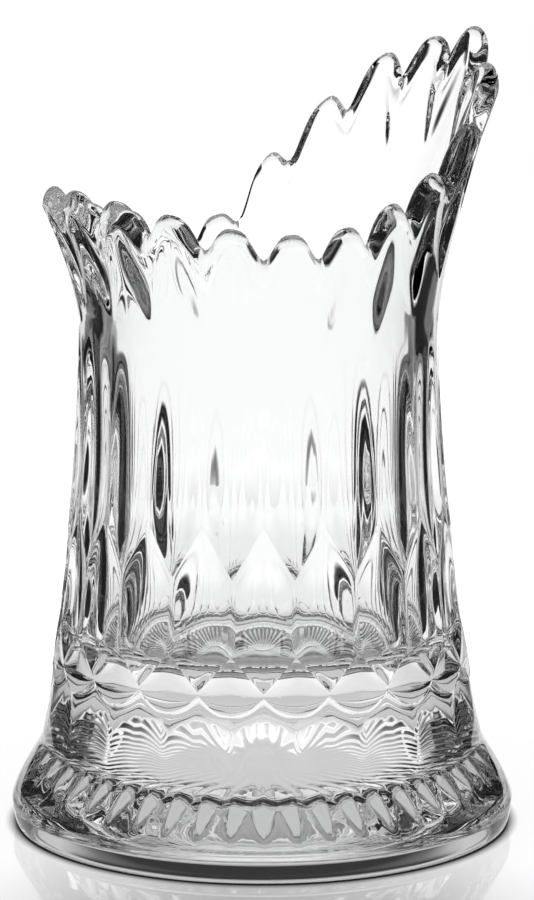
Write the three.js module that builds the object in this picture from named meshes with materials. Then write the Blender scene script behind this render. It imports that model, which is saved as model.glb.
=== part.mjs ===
// Swung vase of clear pressed glass: a flared foot with a star pressed into its underside, a solid
// base ringed with arched panels, a body of honeycomb facets and a swung rim of rounded lobes.
// Millimetres, +Z up, front towards -Y. Turns are degrees from the front, positive towards +X.
import * as THREE from 'three';

// Columns of facets round the wall
const COLUMNS = 21;
const FIRST_LOBE_TURN = 9.0;
const BODY_SIDES = 4;
const RIM_SIDES = 6;

// Foot
const FOOT_RADIUS = 65;
const FOOT_BULGE_HEIGHT = 6.9;
const FOOT_HEIGHT = 21.5;
const FOOT_SLOPE_POWER = 1.2;
const REST_INSET = 1.6;
const REST_WIDTH = 5;

// Hollow of the underside, which rises from the resting ring to a low dome with a star pressed into it
const HOLLOW_STEP = 4;
const HOLLOW_DRAFT = 0.3;
const STAR_INNER_RADIUS = 5;
const STAR_RADIUS = 45;
const STAR_HEIGHT = 13.5;
const STAR_DOME = 1;
const STAR_TIP = 8.7;
const STAR_RELIEF = 1.1;
const STAR_DEEPENING = 3;

// Body, measured over the ridges between facets
const BODY_RADIUS = 57.2;
const WAIST_RADIUS = 50.1;
const WAIST_RISE = 3.7;
const NECKING_PER_RISE = 0.09;
const TAPER_POWER = 1.7;
const FLARE_POWER = 1.3;

// Cavity
const FLOOR_HEIGHT = 45.5;
const FLOOR_RADIUS = 38;
const FLOOR_CURVE_HEIGHT = 6;
const WALL_AT_FLOOR = 7.5;
const WALL_AT_RIM = 6;
const RIM_ROUNDING = 5;

// Rows of facets from the foot up. height, and point, which is half the height of the zigzag that closes
// a row, are shares of the height of all rows, and depth is a share of the facets' depth. A bend of 2
// rounds the zigzag's lower points, and bands is the number of steps up a row. roundness and fade are how
// soft a facet's sides and ends are, skew is how low its deepest place is, or how high if over 1, and
// taper is how much narrower its hollow is on top.
const ROWS_HEIGHT = 106;
const FACET_DEPTH = 2.2;
const ARCH_SAG = 2.4;
const ROWS = [
  {
    height: 0.184, point: 0.021, bend: 2, bands: 4,
    depth: 0.6, roundness: 1, fade: 0.25, skew: 8, taper: 0,
  },
  {
    height: 0.07, point: 0.042, bend: 1, bands: 2,
    depth: 0.2, roundness: 1, fade: 1, skew: 1, taper: 0,
  },
  {
    height: 0.276, point: 0.061, bend: 1, bands: 6,
    depth: 1.1, roundness: 1.2, fade: 1.6, skew: 0.75, taper: 0,
  },
  {
    height: 0.47, point: 0.028, bend: 1, bands: 9,
    depth: 0.8, roundness: 1.5, fade: 1.8, skew: 0.6, taper: 0.3,
  },
];

// Row of hollows under the notches of the rim, which are no longer where the lobes are taller
const LOBE_ROW = { bands: 8, depth: 0.7, roundness: 2, fade: 2, skew: 1, taper: 0 };
const LOBE_HOLLOW = 24;

// Swung rim. rise is a lobe's height over the rows and reach its outer radius, in shares of the largest.
// drift is how far a lobe turns as it is pulled.
const LARGEST_RISE = 76.1;
const LARGEST_REACH = 63.6;
const NOTCH_DEPTH = 4.7;
const NOTCH_PER_RISE = 0.065;
const CREST_POWER = 1.5;
const RIM_STATIONS = [
  { turn: 0, rise: 0.354, reach: 0.763, drift: 0 },
  { turn: 26, rise: 0.368, reach: 0.767, drift: 0 },
  { turn: 43, rise: 0.434, reach: 0.775, drift: -1 },
  { turn: 60, rise: 0.518, reach: 0.802, drift: -1 },
  { turn: 77, rise: 0.66, reach: 0.873, drift: -1 },
  { turn: 94, rise: 0.857, reach: 0.975, drift: -1 },
  { turn: 109, rise: 1.0, reach: 1.0, drift: -2 },
  { turn: 126, rise: 0.98, reach: 0.967, drift: -3 },
  { turn: 143, rise: 0.931, reach: 0.931, drift: -3 },
  { turn: 160, rise: 0.782, reach: 0.888, drift: -2 },
  { turn: 178, rise: 0.571, reach: 0.846, drift: -1 },
  { turn: 197, rise: 0.349, reach: 0.802, drift: -2 },
  { turn: 240, rise: 0.387, reach: 0.833, drift: -6 },
  { turn: 283, rise: 0.483, reach: 0.918, drift: -1 },
  { turn: 317, rise: 0.45, reach: 0.858, drift: -2 },
];

// Drop of each flat parting plane below the lowest point of the pattern over it
const PLANE_DROP = 1.7;

// Clear glass
const GLASS_COLOR = 0xf2f5f5;
const GLASS_ROUGHNESS = 0.03;
const GLASS_OPACITY = 0.35;

// Sizes that follow from these
const REST_RADIUS = FOOT_RADIUS - REST_INSET;
const HOLLOW_RADIUS = REST_RADIUS - REST_WIDTH;
const COLUMN_TURN = 360 / COLUMNS;
const LEVELS = [FOOT_HEIGHT];
for (const row of ROWS) LEVELS.push(LEVELS.at(-1) + ROWS_HEIGHT * row.height);
const HONEYCOMB_TOP = LEVELS.at(-1);
const WAIST_HEIGHT = HONEYCOMB_TOP + WAIST_RISE;
const FOOT_TOP = FOOT_HEIGHT - ARCH_SAG - PLANE_DROP;
const BASE_TOP = LEVELS[1] - ROWS_HEIGHT * ROWS[0].point - PLANE_DROP;
const BODY_TOP = HONEYCOMB_TOP - ROWS_HEIGHT * ROWS.at(-1).point - PLANE_DROP;

// Turns of a ring's points, spaced so that every ridge and every facet's middle has one
const turnsOf = (sides) => Array.from(
  { length: COLUMNS * sides },
  (_, i) => FIRST_LOBE_TURN + (i * COLUMN_TURN) / sides,
);
const BODY_TURNS = turnsOf(BODY_SIDES);
const RIM_TURNS = turnsOf(RIM_SIDES);

// Smooth closed interpolation of one value of the rim's stations
function aroundRim(turn, key) {
  const count = RIM_STATIONS.length;
  const at = (i) => RIM_STATIONS[(i + count) % count];
  const gap = (i) => THREE.MathUtils.euclideanModulo(at(i + 1).turn - at(i).turn, 360);
  const slope = (i) => (at(i + 1)[key] - at(i - 1)[key]) / (gap(i) + gap(i - 1));
  const around = THREE.MathUtils.euclideanModulo(turn, 360);
  const i = RIM_STATIONS.findLastIndex((station) => station.turn <= around);
  const span = gap(i);
  const t = (around - at(i).turn) / span;
  const blend = at(i)[key] * (1 + 2 * t) * (1 - t) ** 2 + at(i + 1)[key] * t * t * (3 - 2 * t);
  return blend + span * (slope(i) * t * (1 - t) ** 2 - slope(i + 1) * t * t * (1 - t));
}

// Place across a column, from -1 to 1, with 0 at the middle of a lobe, or of a notch if shifted by half
function acrossColumn(turn, shift) {
  const columns = (turn - FIRST_LOBE_TURN) / COLUMN_TURN - shift;
  return 2 * (columns - Math.round(columns));
}

// Place across a facet, from -1 on its left ridge to 1 on its right ridge. The top row lies under the
// notches of the rim, and each row below is half a column round from the one above.
function acrossFacet(turn, rowIndex) {
  return acrossColumn(turn, (ROWS.length - rowIndex) % 2 ? 0 : 0.5);
}

// Height of the lower edge of a row: arches on the foot, and a zigzag between two rows
function lowerEdge(turn, rowIndex) {
  const across = Math.abs(acrossFacet(turn, rowIndex));
  if (rowIndex === 0) return FOOT_HEIGHT - ARCH_SAG * (1 - across * across);
  const below = ROWS[rowIndex - 1];
  return LEVELS[rowIndex] + ROWS_HEIGHT * below.point * (2 * across ** below.bend - 1);
}

const lobeRise = (turn) => LARGEST_RISE * aroundRim(turn, 'rise');

// Height of the line over the lobes' tops, and of the rim itself, which dips to a notch between broad crests
function lobeHeight(turn) {
  return HONEYCOMB_TOP + lobeRise(turn);
}

function rimHeight(turn) {
  const across = Math.abs(acrossColumn(turn, 0));
  const notch = NOTCH_DEPTH + NOTCH_PER_RISE * lobeRise(turn);
  return lobeHeight(turn) - notch * Math.sin((Math.PI / 2) * across ** CREST_POWER) ** 2;
}

// Radius at the waist, where glass that is pulled up further necks in
function waistRadius(turn) {
  return WAIST_RADIUS - NECKING_PER_RISE * lobeRise(turn);
}

// Radius over the ridges of the foot, the body and the flared rim
function ridgeRadius(turn, z) {
  if (z < FOOT_BULGE_HEIGHT) {
    const below = 1 - z / FOOT_BULGE_HEIGHT;
    return REST_RADIUS + (FOOT_RADIUS - REST_RADIUS) * Math.sqrt(1 - below * below);
  }
  if (z < FOOT_HEIGHT) {
    const up = (z - FOOT_BULGE_HEIGHT) / (FOOT_HEIGHT - FOOT_BULGE_HEIGHT);
    return BODY_RADIUS + (FOOT_RADIUS - BODY_RADIUS) * (1 - up ** FOOT_SLOPE_POWER);
  }
  if (z < WAIST_HEIGHT) {
    const down = (WAIST_HEIGHT - z) / (WAIST_HEIGHT - FOOT_HEIGHT);
    return THREE.MathUtils.lerp(waistRadius(turn), BODY_RADIUS, down ** TAPER_POWER);
  }
  const up = (z - WAIST_HEIGHT) / (lobeHeight(turn) - WAIST_HEIGHT);
  return THREE.MathUtils.lerp(waistRadius(turn), LARGEST_REACH * aroundRim(turn, 'reach'), up ** FLARE_POWER);
}

// Hollow of the facet that covers a place on the wall
function facetDepth(turn, z) {
  if (z <= lowerEdge(turn, 0)) return 0;
  let rowIndex = 0;
  while (rowIndex < ROWS.length && z > lowerEdge(turn, rowIndex + 1)) rowIndex += 1;
  const row = ROWS[rowIndex] ?? LOBE_ROW;
  const top = row === LOBE_ROW ? rimHeight(turn) : lowerEdge(turn, rowIndex + 1);
  const length = top - lowerEdge(turn, rowIndex);
  const reach = row === LOBE_ROW ? Math.min(length, LOBE_HOLLOW) : length;
  const share = THREE.MathUtils.clamp(1 - (top - z) / reach, 0, 1);
  const up = share ** row.skew;
  const across = acrossFacet(turn, rowIndex) / (1 - row.taper * share);
  const hollow = Math.max(1 - across * across, 0) ** row.roundness;
  return FACET_DEPTH * row.depth * hollow * (4 * up * (1 - up)) ** row.fade;
}

function wallThickness(z) {
  const up = THREE.MathUtils.clamp((z - FLOOR_HEIGHT) / (BODY_TOP - FLOOR_HEIGHT), 0, 1);
  return THREE.MathUtils.lerp(WALL_AT_FLOOR, WALL_AT_RIM, up);
}

// Radius of the cavity, which curves in to meet its flat floor
function cavityRadius(turn, z) {
  const wall = ridgeRadius(turn, z) - wallThickness(z);
  const up = Math.min((z - FLOOR_HEIGHT) / FLOOR_CURVE_HEIGHT, 1);
  return FLOOR_RADIUS + (wall - FLOOR_RADIUS) * Math.sqrt(1 - (1 - up) ** 2);
}

// Point of the vase at a turn, a radius and a height. Lobes drift sideways as they are pulled.
function place(turn, radius, z) {
  const drift = aroundRim(turn, 'drift') * THREE.MathUtils.smoothstep(z, HONEYCOMB_TOP, lobeHeight(turn));
  const angle = THREE.MathUtils.degToRad(turn + drift);
  return new THREE.Vector3(radius * Math.sin(angle), -radius * Math.cos(angle), z);
}

// Rings of points round the vase: height and radius are given as functions of the turn
const ring = (height, radius, turns = BODY_TURNS) => turns.map(
  (turn) => place(turn, radius(turn, height(turn)), height(turn)),
);
const level = (z) => () => z;
const between = (low, high, share) => (turn) => THREE.MathUtils.lerp(low(turn), high(turn), share);
const edgeOf = (rowIndex) => (turn) => lowerEdge(turn, rowIndex);
const outerRadius = (turn, z) => ridgeRadius(turn, z) - facetDepth(turn, z);

// Heights of the rings that fill a row, from its lower edge up to the line that ends it
function bandsUp(low, high, bands) {
  return Array.from({ length: bands }, (_, i) => between(low, high, (i + 1) / bands));
}

// Closed surface through rings in turn, where a single point is a pole. Each four-sided patch is
// split on its shorter diagonal, so that a facet's two halves mirror each other.
function loft(rings, closed) {
  const points = rings.flat();
  const starts = [0];
  for (const each of rings) starts.push(starts.at(-1) + each.length);
  const index = [];
  const last = closed ? rings.length : rings.length - 1;
  const corner = (k, i) => starts[k] + (rings[k].length > 1 ? i : 0);
  for (let k = 0; k < last; k += 1) {
    const next = (k + 1) % rings.length;
    const sides = Math.max(rings[k].length, rings[next].length);
    for (let i = 0; i < sides; i += 1) {
      const j = (i + 1) % sides;
      const a = corner(k, i);
      const b = corner(k, j);
      const c = corner(next, j);
      const d = corner(next, i);
      const risesRight = points[a].distanceTo(points[c]) < points[b].distanceTo(points[d]);
      if (a === b) index.push(a, c, d);
      else if (c === d) index.push(a, b, c);
      else if (risesRight) index.push(a, b, c, a, c, d);
      else index.push(a, b, d, b, c, d);
    }
  }
  const geometry = new THREE.BufferGeometry().setFromPoints(points);
  geometry.setIndex(index);
  geometry.computeVertexNormals();
  return geometry;
}

function glassPiece(name, geometry) {
  const material = new THREE.MeshStandardMaterial({
    color: GLASS_COLOR,
    roughness: GLASS_ROUGHNESS,
    opacity: GLASS_OPACITY,
    transparent: true,
  });
  const mesh = new THREE.Mesh(geometry, material);
  mesh.name = name;
  return mesh;
}

// Height of the hollow under the foot
function hollowHeight(radius) {
  if (radius < STAR_RADIUS) return STAR_HEIGHT + STAR_DOME * (1 - (radius / STAR_RADIUS) ** 2);
  const out = (radius - STAR_RADIUS) / (HOLLOW_RADIUS - HOLLOW_DRAFT - STAR_RADIUS);
  return THREE.MathUtils.lerp(STAR_HEIGHT, HOLLOW_STEP, out);
}

// Foot: hollow underside with the star's rays, flat resting ring, bulged edge and upper slope
function makeFoot() {
  const hollowRing = (radius, relief) => BODY_TURNS.map(
    (turn, i) => place(turn, radius, hollowHeight(radius) + (i % 2 ? 0 : relief)),
  );
  const starSteps = [0, 0.5, 1];
  const edgeSteps = [0.12, 0.4, 1];
  const slopeSteps = [0.35, 0.7, 1];
  const slope = (share) => between(level(FOOT_BULGE_HEIGHT), level(FOOT_TOP), share);
  return loft([
    [new THREE.Vector3(0, 0, hollowHeight(0))],
    ...starSteps.map((share) => hollowRing(
      THREE.MathUtils.lerp(STAR_INNER_RADIUS, STAR_RADIUS, share),
      STAR_RELIEF * share ** STAR_DEEPENING,
    )),
    hollowRing(STAR_RADIUS + STAR_TIP, 0),
    hollowRing(HOLLOW_RADIUS - HOLLOW_DRAFT, 0),
    ring(level(0), () => HOLLOW_RADIUS),
    ring(level(0), () => REST_RADIUS),
    ...edgeSteps.map((share) => ring(level(FOOT_BULGE_HEIGHT * share), ridgeRadius)),
    ...slopeSteps.map((share) => ring(slope(share), ridgeRadius)),
    [new THREE.Vector3(0, 0, FOOT_TOP)],
  ], false);
}

// Base: solid glass under the cavity, ringed with arched panels
function makeBase() {
  return loft([
    [new THREE.Vector3(0, 0, FOOT_TOP)],
    ring(level(FOOT_TOP), outerRadius),
    ring(edgeOf(0), outerRadius),
    ...bandsUp(edgeOf(0), level(BASE_TOP), ROWS[0].bands).map((height) => ring(height, outerRadius)),
    [new THREE.Vector3(0, 0, BASE_TOP)],
  ], false);
}

// Body: honeycomb wall and floor of the lower cavity
function makeBody() {
  const heights = [level(BASE_TOP), edgeOf(1)];
  for (let row = 1; row < ROWS.length - 1; row += 1) {
    heights.push(...bandsUp(edgeOf(row), edgeOf(row + 1), ROWS[row].bands));
  }
  const topRow = ROWS.length - 1;
  heights.push(...bandsUp(edgeOf(topRow), level(BODY_TOP), ROWS[topRow].bands - 1));
  const curveSteps = [1, 0.55, 0.25, 0.07, 0];
  const straightSteps = [1, 0.66, 0.33];
  const curveTop = FLOOR_HEIGHT + FLOOR_CURVE_HEIGHT;
  return loft([
    [new THREE.Vector3(0, 0, BASE_TOP)],
    ...heights.map((height) => ring(height, outerRadius)),
    ...straightSteps.map((share) => ring(between(level(curveTop), level(BODY_TOP), share), cavityRadius)),
    ...curveSteps.map((share) => ring(level(FLOOR_HEIGHT + FLOOR_CURVE_HEIGHT * share), cavityRadius)),
    [new THREE.Vector3(0, 0, FLOOR_HEIGHT)],
  ], false);
}

// Swung rim: the wall pulled out and up into lobes, with a round fire-polished edge
function makeRim() {
  const edgeStart = (turn) => rimHeight(turn) - RIM_ROUNDING;
  const edgeSteps = [45, 90, 135, 180].map((angle) => THREE.MathUtils.degToRad(angle));
  const edgeRadius = (angle) => (turn) => THREE.MathUtils.lerp(
    outerRadius(turn, edgeStart(turn)),
    cavityRadius(turn, edgeStart(turn)),
    (1 - Math.cos(angle)) / 2,
  );
  const rowStart = edgeOf(ROWS.length);
  const outside = [level(BODY_TOP), rowStart, ...bandsUp(rowStart, edgeStart, LOBE_ROW.bands)];
  const insideSteps = [0.75, 0.5, 0.25, 0];
  return loft([
    ...outside.map((height) => ring(height, outerRadius, RIM_TURNS)),
    ...edgeSteps.map((angle) => ring(
      (turn) => edgeStart(turn) + RIM_ROUNDING * Math.sin(angle),
      edgeRadius(angle),
      RIM_TURNS,
    )),
    ...insideSteps.map((share) => ring(between(level(BODY_TOP), edgeStart, share), cavityRadius, RIM_TURNS)),
  ], true);
}

const vase = new THREE.Group();
vase.add(glassPiece('foot', makeFoot()));
vase.add(glassPiece('base', makeBase()));
vase.add(glassPiece('body', makeBody()));
vase.add(glassPiece('swung_rim', makeRim()));

export default vase;
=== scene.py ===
"""Looks of the swung vase: one continuous piece of clear pressed glass on a white polished table."""

import math

import bpy
import numpy as np
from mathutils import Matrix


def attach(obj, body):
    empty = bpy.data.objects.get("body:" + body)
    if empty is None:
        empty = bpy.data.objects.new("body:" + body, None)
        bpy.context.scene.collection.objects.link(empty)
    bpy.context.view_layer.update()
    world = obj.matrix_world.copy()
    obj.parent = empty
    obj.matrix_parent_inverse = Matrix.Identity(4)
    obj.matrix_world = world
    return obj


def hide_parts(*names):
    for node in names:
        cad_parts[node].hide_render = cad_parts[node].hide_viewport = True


MM = 0.001
WHITE = (1, 1, 1, 1)

# Columns of facets round the wall. Turns are in degrees from the front round to the right.
COLUMNS = 21
FIRST_LOBE_TURN = 9.0

# Fineness of the glass mesh: the sides of its rings, and the bands between rings
SIDES_PER_COLUMN = 16
BAND_HEIGHT = 1.8 * MM
FEWEST_ROW_BANDS = 18
BULGE_BANDS = 13
LOBE_BANDS = 30
RIM_EDGE_BANDS = 14
LOBE_BACK_BANDS = 21
FLOOR_CURVE_BANDS = 21

# Rings across the step of the hollow and across the resting ring, close to their edges to keep them crisp
STEP_SHARES = (0.1, 0.5, 0.9, 1)
REST_SHARES = (0.1, 0.9, 1)

# Foot
FOOT_RADIUS = 65 * MM
FOOT_BULGE_HEIGHT = 6.9 * MM
FOOT_HEIGHT = 21.5 * MM
FOOT_SLOPE_POWER = 1.2
REST_INSET = 1.6 * MM
REST_WIDTH = 5 * MM

# Hollow of the underside, which rises from the resting ring to a low dome with a star pressed into it
HOLLOW_STEP = 4 * MM
HOLLOW_DRAFT = 0.3 * MM
STAR_INNER_RADIUS = 5 * MM
STAR_RADIUS = 45 * MM
STAR_HEIGHT = 13.5 * MM
STAR_DOME = 1 * MM
STAR_TIP = 8.7 * MM
STAR_RELIEF = 1.1 * MM
STAR_DEEPENING = 3
STAR_RAYS = 2 * COLUMNS

# Body, measured over the ridges between facets
BODY_RADIUS = 57.2 * MM
WAIST_RADIUS = 50.1 * MM
WAIST_RISE = 3.7 * MM
NECKING_PER_RISE = 0.09
TAPER_POWER = 1.7
FLARE_POWER = 1.3

# Cavity
FLOOR_HEIGHT = 45.5 * MM
FLOOR_RADIUS = 38 * MM
FLOOR_CURVE_HEIGHT = 6 * MM
WALL_AT_FLOOR = 7.5 * MM
WALL_AT_RIM = 6 * MM
RIM_ROUNDING = 5 * MM

# Rows of facets from the foot up, and the hollows under the rim's notches. Height and points are shares of
# ROWS_HEIGHT, and depth is a share of FACET_DEPTH. Points are half the height of the zigzag that closes a
# row, and a bend of 2 rounds its low points. Roundness softens the ridges beside a facet, and fade makes
# its hollow run out sooner towards both ends. The deepest place is in the middle at a skew of 1, lower
# under 1 and higher over it. Taper is how much narrower the hollow gets towards its top. The first row's
# arches reach ARCH_SAG down onto the foot, and the body ends PLANE_DROP under the last row's low points.
ROWS_HEIGHT = 106 * MM
FACET_DEPTH = 2.2 * MM
ROWS = (
    dict(height=0.184, points=0.021, bend=2, depth=0.6, roundness=1.0, fade=0.25, skew=8.0, taper=0.0),
    dict(height=0.07, points=0.042, bend=1, depth=0.2, roundness=1.0, fade=1.0, skew=1.0, taper=0.0),
    dict(height=0.276, points=0.061, bend=1, depth=1.1, roundness=1.2, fade=1.6, skew=0.75, taper=0.0),
    dict(height=0.47, points=0.028, bend=1, depth=0.8, roundness=1.5, fade=1.8, skew=0.6, taper=0.3),
)
LOBE_ROW = dict(depth=0.7, roundness=2.0, fade=2.0, skew=1.0, taper=0.0)
ARCH_SAG = 2.4 * MM
PLANE_DROP = 1.7 * MM

# Swung rim. Each station is a turn, a rise and a reach as shares of the largest, and a drift in degrees.
LARGEST_RISE = 76.1 * MM
LARGEST_REACH = 63.6 * MM
NOTCH_DEPTH = 4.7 * MM
NOTCH_PER_RISE = 0.065
CREST_POWER = 1.5
LOBE_HOLLOW = 24 * MM
RIM_STATIONS = np.array([
    (0, 0.354, 0.763, 0),
    (26, 0.368, 0.767, 0),
    (43, 0.434, 0.775, -1),
    (60, 0.518, 0.802, -1),
    (77, 0.66, 0.873, -1),
    (94, 0.857, 0.975, -1),
    (109, 1.0, 1.0, -2),
    (126, 0.98, 0.967, -3),
    (143, 0.931, 0.931, -3),
    (160, 0.782, 0.888, -2),
    (178, 0.571, 0.846, -1),
    (197, 0.349, 0.802, -2),
    (240, 0.387, 0.833, -6),
    (283, 0.483, 0.918, -1),
    (317, 0.45, 0.858, -2),
])
TURN, RISE, REACH, DRIFT = range(4)

# Glass. Its ripples are drawn out upwards, and its resting ring is scuffed.
GLASS_IOR = 1.52
GLASS_CLEAREST = (0.998, 0.999, 0.999, 1)
GLASS_GREYEST = (0.985, 0.99, 0.991, 1)
RIPPLE_LENGTH = 14 * MM
RIPPLE_STRETCH = 5
RIPPLE_DEPTH = 0.07 * MM
RIPPLE_DETAIL = 1
SCUFF_HEIGHT = 0.15 * MM
SCUFF_ROUGHNESS = 0.35
SCUFF_GRAIN = 0.8 * MM
GLASS_BOUNCES = 32
GLOSSY_BOUNCES = 12

# Camera, from the photograph. The pitch is in degrees, the lens in millimetres and the last two in pixels.
CAMERA_DISTANCE = 717 * MM
CAMERA_HEIGHT = 195.8 * MM
CAMERA_PITCH = 7.92
CAMERA_LENS = 112.6
IMAGE_HEIGHT = 900
OFF_CENTRE = 5

# Backdrop as the glass shows it. Each stop is the sine of an elevation and the light there.
BACKDROP_LIGHT = 1.15
SKY_STOPS = ((0.0, 1.0), (0.06, 0.95), (0.12, 0.65), (0.35, 0.5), (0.5, 0.2), (0.65, 0.04))

# Table, with a painted shade that is dark under the foot, and polished round it
TABLE_RADIUS = 4.0
TABLE_CORNERS = 96
TABLE_GAP = 0.2 * MM
TABLE_WHITE = 0.3
TABLE_PAINTED_SHADE = 0.03
PAINTED_SHADE_RADIUS = 64 * MM
PAINTED_SHADE_FADE = 3 * MM
TABLE_IOR = 2.0
POLISH_RADIUS = 110 * MM
POLISH_FADE = 30 * MM
POLISH_ROUGHNESS = 0.04

# Light of the table for the camera, with a painted soft round shadow in front of the vase
TABLE_GLOW = 0.9
PAINTED_SHADOW_LIGHT = 0.35
PAINTED_SHADOW_AHEAD = 105 * MM
PAINTED_SHADOW_RADIUS = 25 * MM
PAINTED_SHADOW_FADE = 70 * MM

# Painted light of the table as the glass shows it, dark in a ring under the foot. Each stop is a radius in
# millimetres and the light there.
GLOW_REACH = 600
PAINTED_GLOW_STOPS = ((37.2, 0.3), (39.6, 0.0), (45.9, 0.0), (50.4, 0.6), (72, 0.7), (300, 0.7), (540, 0.85))

# Black cards, which pale to the backdrop's white between CARD_BLACK_BACK and CARD_BACK
CARD_SIDE = 185 * MM
CARD_FRONT = 300 * MM
CARD_BLACK_BACK = 320 * MM
CARD_BACK = 460 * MM
CARD_HEIGHT = 450 * MM
CARD_GREY = 0.012

# Sizes that follow from these
COLUMN_TURN = 360 / COLUMNS
ROW_COUNT = len(ROWS)
FACETS = ROWS + (LOBE_ROW,)
LEVELS = FOOT_HEIGHT + ROWS_HEIGHT * np.cumsum([0] + [row["height"] for row in ROWS])
HONEYCOMB_TOP = LEVELS[-1]
WAIST_HEIGHT = HONEYCOMB_TOP + WAIST_RISE
BODY_TOP = HONEYCOMB_TOP - ROWS_HEIGHT * ROWS[-1]["points"] - PLANE_DROP
REST_RADIUS = FOOT_RADIUS - REST_INSET
HOLLOW_RADIUS = REST_RADIUS - REST_WIDTH
SLOPE_RADIUS = HOLLOW_RADIUS - HOLLOW_DRAFT
SIDES = COLUMNS * SIDES_PER_COLUMN
TURNS = FIRST_LOBE_TURN + np.arange(SIDES) * 360 / SIDES


def lerp(low, high, share):
    """Value at a share of the way from low to high."""
    return low + (high - low) * share


def around_rim(key):
    """Smooth closed interpolation of one value of the rim's stations, at every turn of a ring."""
    turns = RIM_STATIONS[:, TURN]
    values = RIM_STATIONS[:, key]
    gaps = np.mod(np.roll(turns, -1) - turns, 360)
    slopes = (np.roll(values, -1) - np.roll(values, 1)) / (gaps + np.roll(gaps, 1))
    around = np.mod(TURNS, 360)
    start = np.searchsorted(turns, around, side="right") - 1
    end = (start + 1) % len(values)
    t = (around - turns[start]) / gaps[start]
    blend = values[start] * (1 + 2 * t) * (1 - t) ** 2 + values[end] * t * t * (3 - 2 * t)
    return blend + gaps[start] * (slopes[start] * t * (1 - t) ** 2 - slopes[end] * t * t * (1 - t))


def across_column(shift):
    """Place across a column, from -1 to 1, with 0 under a lobe, or under a notch if shifted by half."""
    columns = (TURNS - FIRST_LOBE_TURN) / COLUMN_TURN - shift
    return 2 * (columns - np.round(columns))


def across_facet(row):
    """Place across a facet. The top ones lie under notches, and each row is half a column from the next."""
    return across_column(0 if (ROW_COUNT - row) % 2 else 0.5)


def lower_edge(row):
    """Height of the lower edge of a row: arches on the foot, and a zigzag between two rows."""
    across = np.abs(across_facet(row))
    if row == 0:
        return FOOT_HEIGHT - ARCH_SAG * (1 - across * across)
    below = ROWS[row - 1]
    return LEVELS[row] + ROWS_HEIGHT * below["points"] * (2 * across ** below["bend"] - 1)


LOBE_RISE = LARGEST_RISE * around_rim(RISE)
LOBE_REACH = LARGEST_REACH * around_rim(REACH)
LOBE_DRIFT = around_rim(DRIFT)
LOBE_HEIGHT = HONEYCOMB_TOP + LOBE_RISE
LOBE_ACROSS = across_column(0)
NOTCH = NOTCH_DEPTH + NOTCH_PER_RISE * LOBE_RISE
RIM_HEIGHT = LOBE_HEIGHT - NOTCH * np.sin(math.pi / 2 * np.abs(LOBE_ACROSS) ** CREST_POWER) ** 2
WAIST = WAIST_RADIUS - NECKING_PER_RISE * LOBE_RISE
EDGES = [lower_edge(row) for row in range(ROW_COUNT + 1)]


def ridge_radius(z):
    """Radius over the ridges of the foot, the body and the flared rim, at a height for each turn."""
    below = np.clip(1 - z / FOOT_BULGE_HEIGHT, 0, 1)
    bulge = REST_RADIUS + (FOOT_RADIUS - REST_RADIUS) * np.sqrt(1 - below * below)
    up_foot = np.clip((z - FOOT_BULGE_HEIGHT) / (FOOT_HEIGHT - FOOT_BULGE_HEIGHT), 0, 1)
    slope = BODY_RADIUS + (FOOT_RADIUS - BODY_RADIUS) * (1 - up_foot ** FOOT_SLOPE_POWER)
    down = np.clip((WAIST_HEIGHT - z) / (WAIST_HEIGHT - FOOT_HEIGHT), 0, 1)
    body = lerp(WAIST, BODY_RADIUS, down ** TAPER_POWER)
    up_rim = np.clip((z - WAIST_HEIGHT) / (LOBE_HEIGHT - WAIST_HEIGHT), 0, None)
    flare = lerp(WAIST, LOBE_REACH, up_rim ** FLARE_POWER)
    zones = [z < FOOT_BULGE_HEIGHT, z < FOOT_HEIGHT, z < WAIST_HEIGHT]
    return np.select(zones, [bulge, slope, body], flare)


def wall_place(row, share):
    """Height and outer radius in a row, at a share of the way from its lower edge to its upper one."""
    facet = FACETS[row]
    across = across_facet(row)
    top = EDGES[row + 1] if row < ROW_COUNT else RIM_HEIGHT
    z = lerp(EDGES[row], top, share)
    if row == ROW_COUNT:
        hollow_rise = np.minimum(top - EDGES[row], LOBE_HOLLOW)
        share = np.clip(1 - (top - z) / hollow_rise, 0, 1)
    up = share ** facet["skew"]
    width = 1 - facet["taper"] * share
    hollow = np.clip(1 - (across / width) ** 2, 0, 1) ** facet["roundness"]
    fade = np.clip(4 * up * (1 - up), 0, 1) ** facet["fade"]
    return z, ridge_radius(z) - FACET_DEPTH * facet["depth"] * hollow * fade


def cavity_radius(z):
    """Radius of the cavity, whose wall thins upwards and curves in to meet the flat floor."""
    up_wall = np.clip((z - FLOOR_HEIGHT) / (BODY_TOP - FLOOR_HEIGHT), 0, 1)
    thickness = lerp(WALL_AT_FLOOR, WALL_AT_RIM, up_wall)
    up_curve = np.clip((z - FLOOR_HEIGHT) / FLOOR_CURVE_HEIGHT, 0, 1)
    return FLOOR_RADIUS + (ridge_radius(z) - thickness - FLOOR_RADIUS) * np.sqrt(1 - (1 - up_curve) ** 2)


def ring(z, radius):
    """Points of one ring round the vase. Lobes drift sideways as they are pulled."""
    z = np.broadcast_to(z, TURNS.shape)
    share = np.clip((z - HONEYCOMB_TOP) / (LOBE_HEIGHT - HONEYCOMB_TOP), 0, 1)
    angle = np.radians(TURNS + LOBE_DRIFT * share * share * (3 - 2 * share))
    return np.stack([radius * np.sin(angle), -radius * np.cos(angle), z], axis=1)


def hollow_height(radius):
    """Height of the hollow under the foot."""
    if radius < STAR_RADIUS:
        return STAR_HEIGHT + STAR_DOME * (1 - (radius / STAR_RADIUS) ** 2)
    return lerp(STAR_HEIGHT, HOLLOW_STEP, (radius - STAR_RADIUS) / (SLOPE_RADIUS - STAR_RADIUS))


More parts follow.
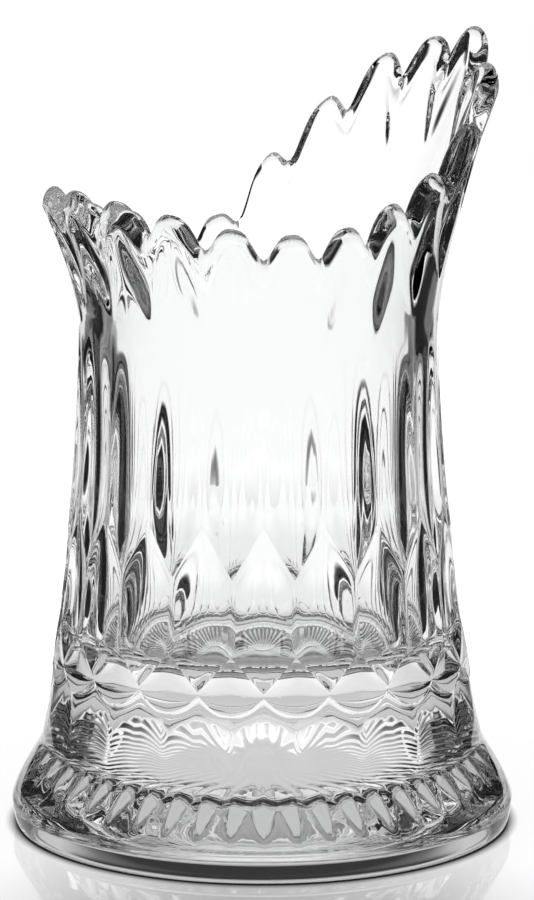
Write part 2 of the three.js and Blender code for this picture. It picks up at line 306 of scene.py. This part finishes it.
def hollow_ring(radius):
    """Ring of the underside. The star's rays are grooves that deepen outwards and run out in points."""
    rays = (TURNS - FIRST_LOBE_TURN) * STAR_RAYS / 360
    beside = 2 * np.abs(rays - np.round(rays))
    depth = np.clip((radius - STAR_INNER_RADIUS) / (STAR_RADIUS - STAR_INNER_RADIUS), 0, 1)
    end = np.clip((radius - STAR_RADIUS) / STAR_TIP, 0, 1)
    groove = STAR_RELIEF * depth ** STAR_DEEPENING * np.clip(1 - end - beside, 0, 1)
    return ring(hollow_height(radius) + groove, radius)


def band_count(length):
    """Number of bands along a length."""
    return round(length / BAND_HEIGHT)


def steps(end, count):
    """Even steps up to an end, without the 0, where the last ring already is."""
    return np.linspace(0, end, count + 1)[1:]


def row_steps(row):
    """Shares up a row, which lie closer together near its edges."""
    count = max(FEWEST_ROW_BANDS, band_count(LEVELS[row + 1] - LEVELS[row]))
    return (1 - np.cos(steps(math.pi, count))) / 2


def underside_rings():
    """Dome with its star, slope, step and flat resting ring."""
    rings = [hollow_ring(STAR_INNER_RADIUS)]
    for share in steps(1, band_count(SLOPE_RADIUS - STAR_INNER_RADIUS)):
        rings.append(hollow_ring(lerp(STAR_INNER_RADIUS, SLOPE_RADIUS, share)))
    for share in STEP_SHARES:
        rings.append(ring(HOLLOW_STEP * (1 - share), SLOPE_RADIUS + HOLLOW_DRAFT * share))
    for share in REST_SHARES:
        rings.append(ring(0, lerp(HOLLOW_RADIUS, REST_RADIUS, share)))
    return rings


def outside_rings():
    """Bulge and slope of the foot, and the rows of facets over it."""
    rings = []
    for angle in steps(math.pi / 2, BULGE_BANDS):
        z = np.full(SIDES, FOOT_BULGE_HEIGHT * (1 - math.cos(angle)))
        rings.append(ring(z, ridge_radius(z)))
    for share in steps(1, band_count(FOOT_HEIGHT - FOOT_BULGE_HEIGHT)):
        z = lerp(FOOT_BULGE_HEIGHT, EDGES[0], share)
        rings.append(ring(z, ridge_radius(z)))
    for row in range(ROW_COUNT):
        for share in row_steps(row):
            rings.append(ring(*wall_place(row, share)))
    return rings


def rim_rings():
    """Lobes, their round fire-polished edge, and their back down to the body."""
    start = RIM_HEIGHT - RIM_ROUNDING
    highest = (start - EDGES[-1]) / (RIM_HEIGHT - EDGES[-1])
    rings = [ring(*wall_place(ROW_COUNT, share * highest)) for share in steps(1, LOBE_BANDS)]
    outer = wall_place(ROW_COUNT, highest)[1]
    inner = cavity_radius(start)
    for angle in steps(math.pi, RIM_EDGE_BANDS):
        radius = lerp(outer, inner, (1 - math.cos(angle)) / 2)
        rings.append(ring(start + RIM_ROUNDING * math.sin(angle), radius))
    for share in steps(1, LOBE_BACK_BANDS):
        z = lerp(start, BODY_TOP, share)
        rings.append(ring(z, cavity_radius(z)))
    return rings


def cavity_rings():
    """Wall of the cavity, its curve into the floor, and the floor."""
    rings = []
    curve_top = FLOOR_HEIGHT + FLOOR_CURVE_HEIGHT
    for share in steps(1, band_count(BODY_TOP - curve_top)):
        z = np.full(SIDES, lerp(BODY_TOP, curve_top, share))
        rings.append(ring(z, cavity_radius(z)))
    for angle in steps(math.pi / 2, FLOOR_CURVE_BANDS):
        z = np.full(SIDES, FLOOR_HEIGHT + FLOOR_CURVE_HEIGHT * (1 - math.sin(angle)))
        rings.append(ring(z, cavity_radius(z)))
    for share in steps(1, band_count(FLOOR_RADIUS))[:-1]:
        rings.append(ring(FLOOR_HEIGHT, FLOOR_RADIUS * (1 - share)))
    return rings


def glass_surface():
    """Points and faces of one closed surface, from the underside's middle over the rim to the floor's."""
    rings = underside_rings() + outside_rings() + rim_rings() + cavity_rings()
    middles = [[0, 0, hollow_height(0)], [0, 0, FLOOR_HEIGHT]]
    points = np.concatenate(rings + [middles])
    here = np.arange(SIDES)
    after = (here + 1) % SIDES
    last = (len(rings) - 1) * SIDES
    below = np.full(SIDES, last + SIDES)
    above = below + 1
    faces = []
    for low in range(0, last, SIDES):
        high = low + SIDES
        faces += np.stack([low + here, low + after, high + after, high + here], axis=1).tolist()
    faces += np.stack([below, after, here], axis=1).tolist()
    faces += np.stack([above, last + here, last + after], axis=1).tolist()
    return points.tolist(), faces


def add_mesh(name, points, faces, material):
    """New object of one mesh in one material."""
    mesh = bpy.data.meshes.new(name)
    mesh.from_pydata(points, [], faces)
    mesh.materials.append(material)
    made = bpy.data.objects.new(name, mesh)
    bpy.context.scene.collection.objects.link(made)
    return made


def new_material(name):
    """New material and its empty node tree."""
    material = bpy.data.materials.new(name)
    material.use_nodes = True
    material.node_tree.nodes.clear()
    return material, material.node_tree


def add_node(tree, kind, inputs=None, **settings):
    """Outputs of a new shader node, whose inputs are constants or the outputs of other nodes."""
    node = tree.nodes.new("ShaderNode" + kind)
    for name, value in settings.items():
        setattr(node, name, value)
    for key, value in (inputs or {}).items():
        if isinstance(value, bpy.types.NodeSocket):
            tree.links.new(value, node.inputs[key])
        else:
            node.inputs[key].default_value = value
    return node.outputs


def add_math(tree, operation, *values):
    """Result of one operation on two or three values."""
    return add_node(tree, "Math", dict(enumerate(values)), operation=operation)["Value"]


def add_range(tree, value, places, levels, kind="SMOOTHSTEP"):
    """Level that goes from the first to the second as a value goes from the first place to the second."""
    inputs = {"Value": value}
    inputs["From Min"], inputs["From Max"] = places
    inputs["To Min"], inputs["To Max"] = levels
    return add_node(tree, "MapRange", inputs, interpolation_type=kind)["Result"]


def grey(light):
    """Colour of a plain light."""
    return (light, light, light, 1)


def add_ramp(tree, value, stops):
    """Grey for a value, from stops that are each a place and a light."""
    ramp = tree.nodes.new("ShaderNodeValToRGB")
    while len(ramp.color_ramp.elements) < len(stops):
        ramp.color_ramp.elements.new(1)
    for element, (place, light) in zip(ramp.color_ramp.elements, stops):
        element.position = place
        element.color = grey(light)
    tree.links.new(value, ramp.inputs["Fac"])
    return ramp.outputs["Color"]


def add_bent_ray(tree, path):
    """1 for a ray that a mirror or the glass has turned, and 0 for others."""
    return add_math(tree, "MAXIMUM", path["Is Glossy Ray"], path["Is Transmission Ray"])


def add_ripples(tree, place):
    """Faint uneven waves that the pressed glass keeps from the mould, drawn out as it was swung."""
    stretched = add_node(tree, "Mapping", {"Vector": place, "Scale": (1, 1, 1 / RIPPLE_STRETCH)})["Vector"]
    noise = {"Vector": stretched, "Scale": 1 / RIPPLE_LENGTH, "Detail": RIPPLE_DETAIL}
    return add_node(tree, "TexNoise", noise)["Fac"]


def add_scuffs(tree, place):
    """Roughness of the resting ring, which a table has worn in grains, while the rest is fire-polished."""
    height = add_node(tree, "SeparateXYZ", {"Vector": place})["Z"]
    ring_only = add_range(tree, height, (0, SCUFF_HEIGHT), (SCUFF_ROUGHNESS, 0), "LINEAR")
    grains = add_node(tree, "TexNoise", {"Vector": place, "Scale": 1 / SCUFF_GRAIN})["Fac"]
    return add_math(tree, "MULTIPLY", ring_only, grains)


def glass_material():
    """Clear glass with a faint grey tint that varies, ripples in its surface and a scuffed resting ring."""
    material, tree = new_material("clear_glass")
    place = add_node(tree, "TexCoord")["Object"]
    ripples = add_ripples(tree, place)
    tints = {"Factor": ripples, "A": GLASS_CLEAREST, "B": GLASS_GREYEST}
    glass = {
        "Base Color": add_node(tree, "Mix", tints, data_type="RGBA")["Result"],
        "Roughness": add_scuffs(tree, place),
        "IOR": GLASS_IOR,
        "Normal": add_node(tree, "Bump", {"Height": ripples, "Distance": RIPPLE_DEPTH})["Normal"],
        "Transmission Weight": 1,
    }
    shader = add_node(tree, "BsdfPrincipled", glass)["BSDF"]
    add_node(tree, "OutputMaterial", {"Surface": shader})
    return material


def add_table_paint_and_painted_shade(tree, clear):
    """White paint, with a painted dark shade where the foot covers it."""
    shades = {"Factor": clear, "A": grey(TABLE_PAINTED_SHADE), "B": grey(TABLE_WHITE)}
    color = add_node(tree, "Mix", shades, data_type="RGBA")["Result"]
    return add_node(tree, "BsdfDiffuse", {"Color": color})["BSDF"]


def add_table_glow(tree, place, away, clear):
    """Light of the table: white for the camera with a painted soft shadow, and painted light by distance
    from the axis in the glass.
    """
    path = add_node(tree, "LightPath")
    # Painted soft round shadow, darkest a little in front of the vase
    to_shade = {0: place, 1: (0, -PAINTED_SHADOW_AHEAD, 0)}
    ahead = add_node(tree, "VectorMath", to_shade, operation="DISTANCE")["Value"]
    soft_edge = (PAINTED_SHADOW_RADIUS, PAINTED_SHADOW_RADIUS + PAINTED_SHADOW_FADE)
    shadow = add_range(tree, ahead, soft_edge, (PAINTED_SHADOW_LIGHT, TABLE_GLOW))
    # Painted contact shadow: the camera's light fades out under and just round the foot
    plain = add_math(tree, "MULTIPLY", path["Is Camera Ray"], clear)
    # Painted light for rays that the glass or a mirror turned, by distance from the axis, with a painted
    # dark ring of shade under the foot
    reach = add_math(tree, "DIVIDE", away, GLOW_REACH * MM)
    far = add_ramp(tree, reach, [(radius / GLOW_REACH, light) for radius, light in PAINTED_GLOW_STOPS])
    through = add_math(tree, "MULTIPLY", add_bent_ray(tree, path), far)
    light = add_math(tree, "MULTIPLY_ADD", plain, shadow, through)
    return add_node(tree, "Emission", {"Strength": light})["Emission"]


def add_table_polish(tree, away, clear):
    """Share of the table that is a mirror: more at a slant, round the foot and not under it."""
    near = add_range(tree, away, (POLISH_RADIUS, POLISH_RADIUS + POLISH_FADE), (1, 0))
    slant = add_node(tree, "Fresnel", {"IOR": TABLE_IOR})["Fac"]
    mirror = add_math(tree, "MULTIPLY", near, slant)
    return add_math(tree, "MULTIPLY", mirror, clear)


def table_material():
    """White table top with painted shade under and in front of the vase, and a polish that mirrors its
    foot.
    """
    material, tree = new_material("white_table")
    place = add_node(tree, "NewGeometry")["Position"]
    away = add_node(tree, "VectorMath", {0: place}, operation="LENGTH")["Value"]
    # Painted shade round the axis: 0 under the foot, rising to 1 just past its edge; it darkens the paint
    # and takes away the camera's light there as a painted contact shadow
    clear = add_range(tree, away, (PAINTED_SHADE_RADIUS, PAINTED_SHADE_RADIUS + PAINTED_SHADE_FADE), (0, 1), "LINEAR")
    paint = add_table_paint_and_painted_shade(tree, clear)
    glow = add_table_glow(tree, place, away, clear)
    matt = add_node(tree, "AddShader", {0: paint, 1: glow})["Shader"]
    gloss = add_node(tree, "BsdfGlossy", {"Color": WHITE, "Roughness": POLISH_ROUGHNESS})["BSDF"]
    polish = add_table_polish(tree, away, clear)
    surface = add_node(tree, "MixShader", {0: polish, 1: matt, 2: gloss})["Shader"]
    add_node(tree, "OutputMaterial", {"Surface": surface})
    return material


def card_material():
    """Black that pales to the backdrop's white towards the back."""
    material, tree = new_material("black_card")
    place = add_node(tree, "TexCoord")["Object"]
    back = add_node(tree, "SeparateXYZ", {"Vector": place})["Y"]
    pale = add_range(tree, back, (CARD_BLACK_BACK, CARD_BACK), (CARD_GREY, BACKDROP_LIGHT))
    glow = add_node(tree, "Emission", {"Strength": pale})["Emission"]
    add_node(tree, "OutputMaterial", {"Surface": glow})
    return material


def make_world():
    """White all round, but in the glass and in mirrors a backdrop that is darker overhead."""
    world = bpy.data.worlds.new("studio")
    world.use_nodes = True
    tree = world.node_tree
    tree.nodes.clear()
    direction = add_node(tree, "TexCoord")["Generated"]
    height = add_node(tree, "SeparateXYZ", {"Vector": direction})["Z"]
    sky = add_ramp(tree, height, SKY_STOPS)
    plain = add_node(tree, "Background", {"Color": WHITE})["Background"]
    backdrop = add_node(tree, "Background", {"Color": sky, "Strength": BACKDROP_LIGHT})["Background"]
    bent = add_bent_ray(tree, add_node(tree, "LightPath"))
    surface = add_node(tree, "MixShader", {0: bent, 1: plain, 2: backdrop})["Shader"]
    add_node(tree, "OutputWorld", {"Surface": surface})
    bpy.context.scene.world = world


def make_camera():
    """Camera at the photograph's viewpoint."""
    data = bpy.data.cameras.new("camera")
    data.lens = CAMERA_LENS
    data.shift_x = OFF_CENTRE / IMAGE_HEIGHT
    camera = bpy.data.objects.new("camera", data)
    camera.location = (0, -CAMERA_DISTANCE, CAMERA_HEIGHT)
    camera.rotation_euler = (math.radians(90 - CAMERA_PITCH), 0, 0)
    bpy.context.scene.collection.objects.link(camera)
    bpy.context.scene.camera = camera
    return camera


def make_table():
    """Round table top, just under the foot."""
    turns = [2 * math.pi * i / TABLE_CORNERS for i in range(TABLE_CORNERS)]
    points = [(TABLE_RADIUS * math.cos(turn), TABLE_RADIUS * math.sin(turn), -TABLE_GAP) for turn in turns]
    table = add_mesh("table", points, [range(TABLE_CORNERS)], table_material())


def make_cards(camera):
    """Cards beside and before the vase, which darken its edges, on a turntable that faces the camera."""
    stand = bpy.data.objects.new("card_stand", None)
    bpy.context.scene.collection.objects.link(stand)
    follow = stand.constraints.new("LOCKED_TRACK")
    follow.target = camera
    follow.track_axis = "TRACK_NEGATIVE_Y"
    follow.lock_axis = "LOCK_Z"
    left = [(-CARD_SIDE, CARD_BACK), (-CARD_SIDE, -CARD_FRONT)]
    right = [(CARD_SIDE, -CARD_FRONT), (CARD_SIDE, CARD_BACK)]
    points = [(x, y, z) for x, y in left + right for z in (-2 * TABLE_GAP, CARD_HEIGHT)]
    faces = [(2 * i, 2 * i + 2, 2 * i + 3, 2 * i + 1) for i in range(3)]
    cards = add_mesh("black_cards", points, faces, card_material())
    cards.parent = stand
    cards.visible_camera = False
    cards.visible_diffuse = False
    cards.visible_shadow = False


def make_vase():
    """The vase, with smooth shading over its fine mesh."""
    points, faces = glass_surface()
    made = add_mesh("glass_vase", points, faces, glass_material())
    made.data.shade_smooth()
    return made


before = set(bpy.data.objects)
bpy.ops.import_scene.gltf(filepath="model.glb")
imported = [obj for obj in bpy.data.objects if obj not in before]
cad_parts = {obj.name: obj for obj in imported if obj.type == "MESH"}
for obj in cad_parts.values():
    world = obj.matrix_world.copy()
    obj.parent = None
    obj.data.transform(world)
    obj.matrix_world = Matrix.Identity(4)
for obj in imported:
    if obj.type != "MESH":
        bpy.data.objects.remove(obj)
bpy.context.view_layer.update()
scene = bpy.context.scene
scene.view_settings.view_transform = "Standard"
scene.cycles.max_bounces = GLASS_BOUNCES
scene.cycles.transmission_bounces = GLASS_BOUNCES
scene.cycles.glossy_bounces = GLOSSY_BOUNCES

camera = make_camera()
make_world()
make_table()
make_cards(camera)

vase = make_vase()
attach(vase, "root")
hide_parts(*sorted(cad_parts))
